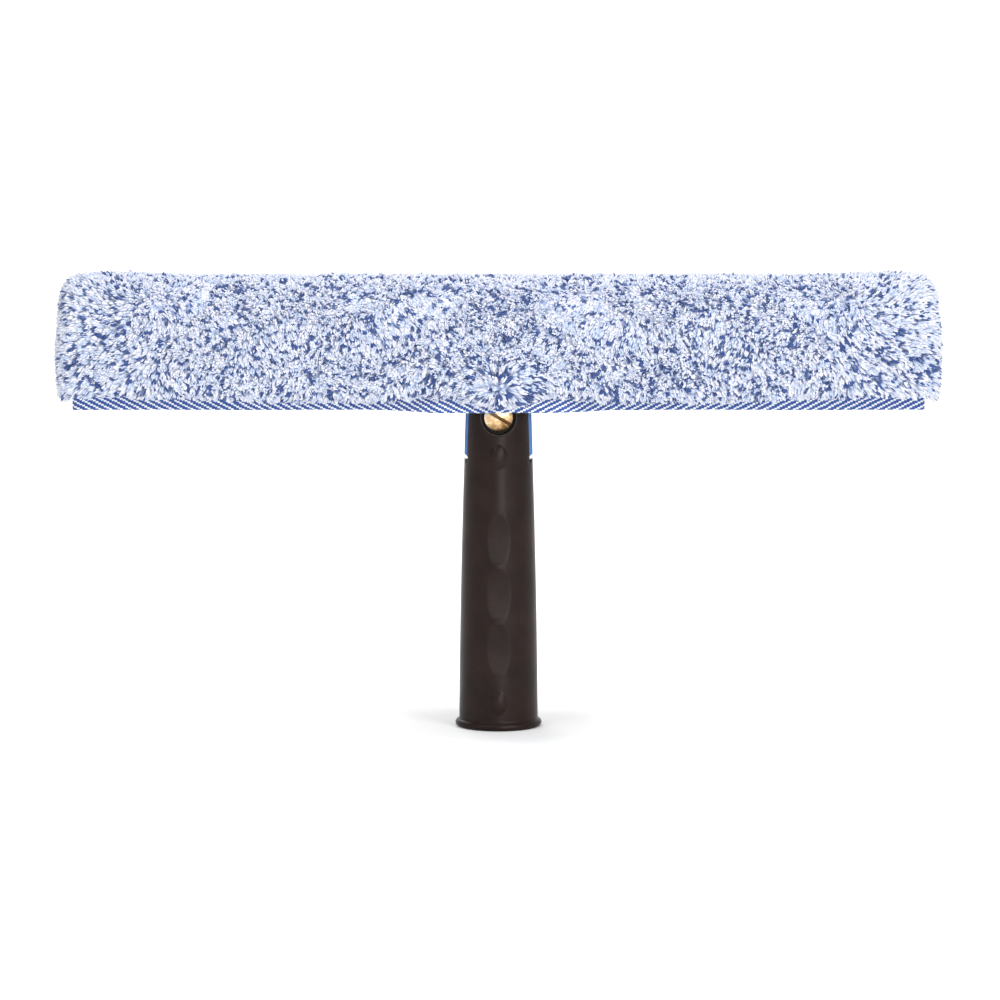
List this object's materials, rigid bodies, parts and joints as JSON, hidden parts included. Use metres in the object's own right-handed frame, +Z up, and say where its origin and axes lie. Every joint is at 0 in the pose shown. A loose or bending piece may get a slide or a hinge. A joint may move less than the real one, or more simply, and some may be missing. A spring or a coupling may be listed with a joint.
{
  "type": "window washer",
  "caption": "Window washer with a swivelling crossbar in a blue and white pile sleeve, on a tapered soft-grip handle that also fits a pole.",
  "frame": {"origin": "centre of the handle's bottom rim, on the plane it stands on and at the pole socket's mouth", "axes": "+Z up the handle, +X along the crossbar to the right, -Y to the front, where the pivot screw's head is"},
  "size_m": [0.358, 0.048, 0.186],
  "materials": {
    "core_plastic": "matte, finely sparked",
    "soft_grip": "soft matte skin, finely sparked",
    "brass": "turned, slightly dulled",
    "friction_pad": "matte",
    "plated_steel": "zinc plated",
    "bush_plastic": "satin",
    "blue_plastic": "satin moulded",
    "base_cloth": "plain weave",
    "pile": "microfibre pile, white with blue tufts",
    "twill": "twill weave, white and blue",
    "loop_tape": "brushed loops",
    "hook_tape": "moulded hooks"
  },
  "bodies": {
    "handle": {"handle_core": "core_plastic", "handle_grip": "soft_grip", "pivot_nut": "brass", "friction_washer_front": "friction_pad", "friction_washer_rear": "friction_pad", "flat_washer": "plated_steel", "spring_washer": "plated_steel"},
    "tension_screw": {"pivot_screw": "brass"},
    "t_bar": {"hub_bush": "bush_plastic", "swivel_hub": "blue_plastic", "crossbar_arm_left": "blue_plastic", "crossbar_arm_right": "blue_plastic", "end_cap_left": "blue_plastic", "end_cap_right": "blue_plastic", "arm_screws": "plated_steel", "sleeve_backing": "base_cloth", "sleeve_pile": "pile", "hem_front": "twill", "hem_rear": "twill", "end_panel_left": "base_cloth", "end_panel_right": "base_cloth", "loop_strip_left": "loop_tape", "loop_strip_right": "loop_tape", "hook_strip_left": "hook_tape", "hook_strip_right": "hook_tape"}
  },
  "joints": [
    {"name": "swivel", "type": "hinge", "parent": "handle", "child": "t_bar", "pos_m": [0, 0, 0.128], "axis": [0, 1, 0], "range_deg": [-45, 45]},
    {"name": "tension_screw_turn", "type": "hinge", "parent": "handle", "child": "tension_screw", "pos_m": [0, 0, 0.128], "axis": [0, -1, 0], "range_deg": [-90, 90]}
  ]
}
